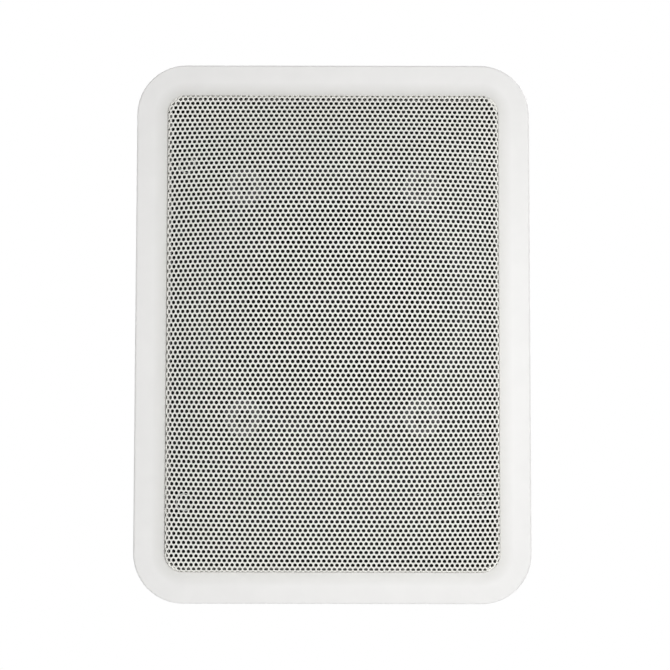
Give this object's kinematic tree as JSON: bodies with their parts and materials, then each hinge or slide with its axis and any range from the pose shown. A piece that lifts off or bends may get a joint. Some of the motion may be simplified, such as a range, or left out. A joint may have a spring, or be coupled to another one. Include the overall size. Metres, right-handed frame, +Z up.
{
  "type": "ceiling speaker",
  "caption": "Rectangular flush-mount ceiling speaker: white frame, crowned perforated grille, round full-range driver, swing-out clamps and push terminals.",
  "frame": {"origin": "centre of the flange's back face, where it meets the ceiling board", "axes": "+Z up the long side as in the picture, -Y towards the listener, +Y into the ceiling void, +X to the listener's right"},
  "size_m": [0.22, 0.0889, 0.3],
  "materials": {
    "white_plastic": "satin moulded",
    "foam": "closed-cell foam",
    "grille_paint": "powder coat",
    "black_plastic": "moulded",
    "black_steel": "black coat",
    "gasket_board": "pressed board",
    "surround_cloth": "doped cloth",
    "cone_paper": "pressed paper",
    "whizzer_paper": "pressed paper",
    "cap_cloth": "doped cloth",
    "former_foil": "foil",
    "coil_wire": "enamelled wire",
    "spider_cloth": "treated cloth",
    "plated_steel": "zinc plated",
    "ferrite": "sintered",
    "fibre_board": "laminated",
    "tag_brass": "plated",
    "red_plastic": "moulded",
    "dog_plastic": "moulded"
  },
  "bodies": {
    "root": {"front_frame": "white_plastic", "flange_seal": "foam", "grille": "grille_paint", "baffle": "black_plastic", "baffle_screws": "black_steel", "basket": "black_steel", "gasket_ring": "gasket_board", "surround": "surround_cloth", "spider": "spider_cloth", "top_plate": "plated_steel", "magnet": "ferrite", "back_plate": "plated_steel", "terminal_strip": "fibre_board", "solder_tags": "tag_brass", "driver_screws": "black_steel", "driver_washers": "plated_steel", "terminal_cup": "black_plastic", "terminal_screws": "plated_steel", "terminal_contacts": "tag_brass", "lever_pin": "plated_steel", "lead_red": "red_plastic", "lead_black": "black_plastic"},
    "moving_cone": {"cone": "cone_paper", "whizzer_cone": "whizzer_paper", "dust_cap": "cap_cloth", "voice_coil_former": "former_foil", "voice_coil": "coil_wire"},
    "lever_red": {"lever_red": "red_plastic"},
    "lever_black": {"lever_black": "black_plastic"},
    "clamp_screw_tl": {"clamp_screw_tl": "plated_steel"},
    "clamp_nut_tl": {"clamp_nut_tl": "tag_brass"},
    "clamp_dog_tl": {"clamp_dog_tl": "dog_plastic"},
    "clamp_screw_tr": {"clamp_screw_tr": "plated_steel"},
    "clamp_nut_tr": {"clamp_nut_tr": "tag_brass"},
    "clamp_dog_tr": {"clamp_dog_tr": "dog_plastic"},
    "clamp_screw_bl": {"clamp_screw_bl": "plated_steel"},
    "clamp_nut_bl": {"clamp_nut_bl": "tag_brass"},
    "clamp_dog_bl": {"clamp_dog_bl": "dog_plastic"},
    "clamp_screw_br": {"clamp_screw_br": "plated_steel"},
    "clamp_nut_br": {"clamp_nut_br": "tag_brass"},
    "clamp_dog_br": {"clamp_dog_br": "dog_plastic"}
  },
  "joints": [
    {"name": "cone_excursion", "type": "slide", "parent": "root", "child": "moving_cone", "axis": [0, -1, 0], "range_m": [-0.003, 0.003], "stiffness_N_per_m": 1000, "deforming": ["surround", "spider"]},
    {"name": "lever_red_press", "type": "hinge", "parent": "root", "child": "lever_red", "pos_m": [0.011, 0.0185, -0.106], "axis": [1, 0, 0], "range_deg": [0, 10], "stiffness_Nm_per_rad": 0.5},
    {"name": "lever_black_press", "type": "hinge", "parent": "root", "child": "lever_black", "pos_m": [-0.011, 0.0185, -0.106], "axis": [1, 0, 0], "range_deg": [0, 10], "stiffness_Nm_per_rad": 0.5},
    {"name": "clamp_screw_turn_tl", "type": "hinge", "parent": "root", "child": "clamp_screw_tl", "pos_m": [-0.0825, 0, 0.095], "axis": [0, 1, 0], "range_deg": [0, 7200]},
    {"name": "clamp_nut_travel_tl", "type": "slide", "parent": "root", "child": "clamp_nut_tl", "axis": [0, -1, 0], "range_m": [0, 0.034]},
    {"name": "clamp_dog_swing_tl", "type": "hinge", "parent": "clamp_nut_tl", "child": "clamp_dog_tl", "pos_m": [-0.0825, 0.05, 0.095], "axis": [0, 1, 0], "range_deg": [0, 90]},
    {"name": "clamp_screw_turn_tr", "type": "hinge", "parent": "root", "child": "clamp_screw_tr", "pos_m": [0.0825, 0, 0.095], "axis": [0, 1, 0], "range_deg": [0, 7200]},
    {"name": "clamp_nut_travel_tr", "type": "slide", "parent": "root", "child": "clamp_nut_tr", "axis": [0, -1, 0], "range_m": [0, 0.034]},
    {"name": "clamp_dog_swing_tr", "type": "hinge", "parent": "clamp_nut_tr", "child": "clamp_dog_tr", "pos_m": [0.0825, 0.05, 0.095], "axis": [0, 1, 0], "range_deg": [0, 90]},
    {"name": "clamp_screw_turn_bl", "type": "hinge", "parent": "root", "child": "clamp_screw_bl", "pos_m": [-0.0825, 0, -0.095], "axis": [0, 1, 0], "range_deg": [0, 7200]},
    {"name": "clamp_nut_travel_bl", "type": "slide", "parent": "root", "child": "clamp_nut_bl", "axis": [0, -1, 0], "range_m": [0, 0.034]},
    {"name": "clamp_dog_swing_bl", "type": "hinge", "parent": "clamp_nut_bl", "child": "clamp_dog_bl", "pos_m": [-0.0825, 0.05, -0.095], "axis": [0, 1, 0], "range_deg": [0, 90]},
    {"name": "clamp_screw_turn_br", "type": "hinge", "parent": "root", "child": "clamp_screw_br", "pos_m": [0.0825, 0, -0.095], "axis": [0, 1, 0], "range_deg": [0, 7200]},
    {"name": "clamp_nut_travel_br", "type": "slide", "parent": "root", "child": "clamp_nut_br", "axis": [0, -1, 0], "range_m": [0, 0.034]},
    {"name": "clamp_dog_swing_br", "type": "hinge", "parent": "clamp_nut_br", "child": "clamp_dog_br", "pos_m": [0.0825, 0.05, -0.095], "axis": [0, 1, 0], "range_deg": [0, 90]}
  ],
  "couplings": [
    {"joint": "clamp_screw_turn_tl", "follows": "clamp_nut_travel_tl", "rad_per_m": 3696},
    {"joint": "clamp_screw_turn_tr", "follows": "clamp_nut_travel_tr", "rad_per_m": 3696},
    {"joint": "clamp_screw_turn_bl", "follows": "clamp_nut_travel_bl", "rad_per_m": 3696},
    {"joint": "clamp_screw_turn_br", "follows": "clamp_nut_travel_br", "rad_per_m": 3696}
  ]
}
